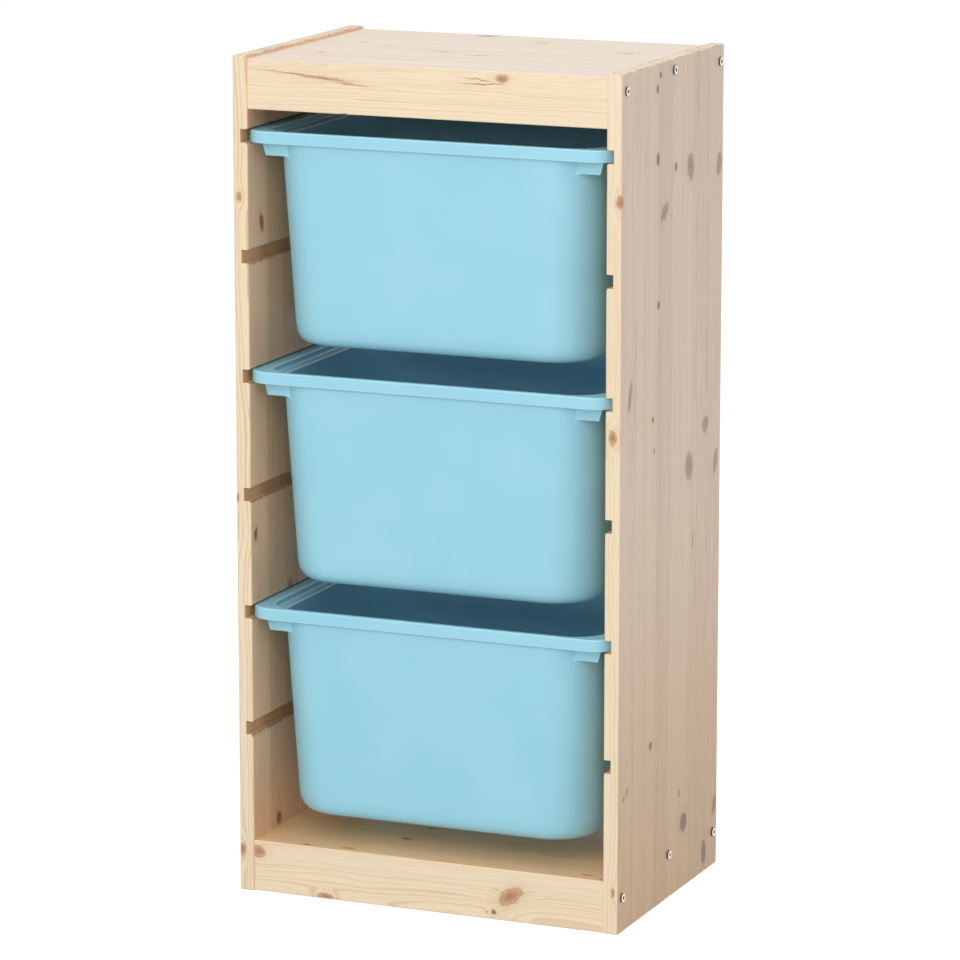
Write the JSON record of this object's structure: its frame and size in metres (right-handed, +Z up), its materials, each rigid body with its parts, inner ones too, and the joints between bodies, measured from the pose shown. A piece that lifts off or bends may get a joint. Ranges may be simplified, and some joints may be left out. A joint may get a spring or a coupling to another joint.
{
  "type": "toy storage frame with pull-out bins",
  "caption": "Upright pine frame with grooved side panels that carry moulded pull-out storage bins by their rims.",
  "frame": {"origin": "on the floor, at the centre of the frame's footprint", "axes": "+Z up, -Y towards the open front that the bins pull out of, +X towards the right-hand side panel as seen from the front"},
  "size_m": [0.444, 0.3, 0.91],
  "materials": {
    "pine": "clear-lacquered pine, satin",
    "bin_plastic": "moulded, satin, light blue",
    "screw_steel": "bright zinc",
    "dowel_wood": "bare beech"
  },
  "bodies": {
    "frame": {"left_side_panel": "pine", "right_side_panel": "pine", "top_board": "pine", "bottom_board": "pine", "front_top_rail": "pine", "back_top_rail": "pine", "front_bottom_rail": "pine", "back_bottom_rail": "pine", "left_screw_back_bottom_rail": "screw_steel", "left_screw_back_top_rail": "screw_steel", "left_screw_bottom_board": "screw_steel", "left_screw_front_bottom_rail": "screw_steel", "left_screw_front_top_rail": "screw_steel", "left_screw_top_board": "screw_steel", "right_screw_back_bottom_rail": "screw_steel", "right_screw_back_top_rail": "screw_steel", "right_screw_bottom_board": "screw_steel", "right_screw_front_bottom_rail": "screw_steel", "right_screw_front_top_rail": "screw_steel", "right_screw_top_board": "screw_steel", "left_dowel_back_bottom_rail": "dowel_wood", "left_dowel_back_top_rail": "dowel_wood", "left_dowel_bottom_board_back": "dowel_wood", "left_dowel_bottom_board_front": "dowel_wood", "left_dowel_front_bottom_rail": "dowel_wood", "left_dowel_front_top_rail": "dowel_wood", "left_dowel_top_board_back": "dowel_wood", "left_dowel_top_board_front": "dowel_wood", "right_dowel_back_bottom_rail": "dowel_wood", "right_dowel_back_top_rail": "dowel_wood", "right_dowel_bottom_board_back": "dowel_wood", "right_dowel_bottom_board_front": "dowel_wood", "right_dowel_front_bottom_rail": "dowel_wood", "right_dowel_front_top_rail": "dowel_wood", "right_dowel_top_board_back": "dowel_wood", "right_dowel_top_board_front": "dowel_wood"},
    "top_bin": {"top_bin": "bin_plastic"},
    "middle_bin": {"middle_bin": "bin_plastic"},
    "bottom_bin": {"bottom_bin": "bin_plastic"}
  },
  "joints": [
    {"name": "top_bin_slide", "type": "slide", "parent": "frame", "child": "top_bin", "axis": [0, -1, 0], "range_m": [0, 0.32]},
    {"name": "middle_bin_slide", "type": "slide", "parent": "frame", "child": "middle_bin", "axis": [0, -1, 0], "range_m": [0, 0.32]},
    {"name": "bottom_bin_slide", "type": "slide", "parent": "frame", "child": "bottom_bin", "axis": [0, -1, 0], "range_m": [0, 0.32]}
  ]
}
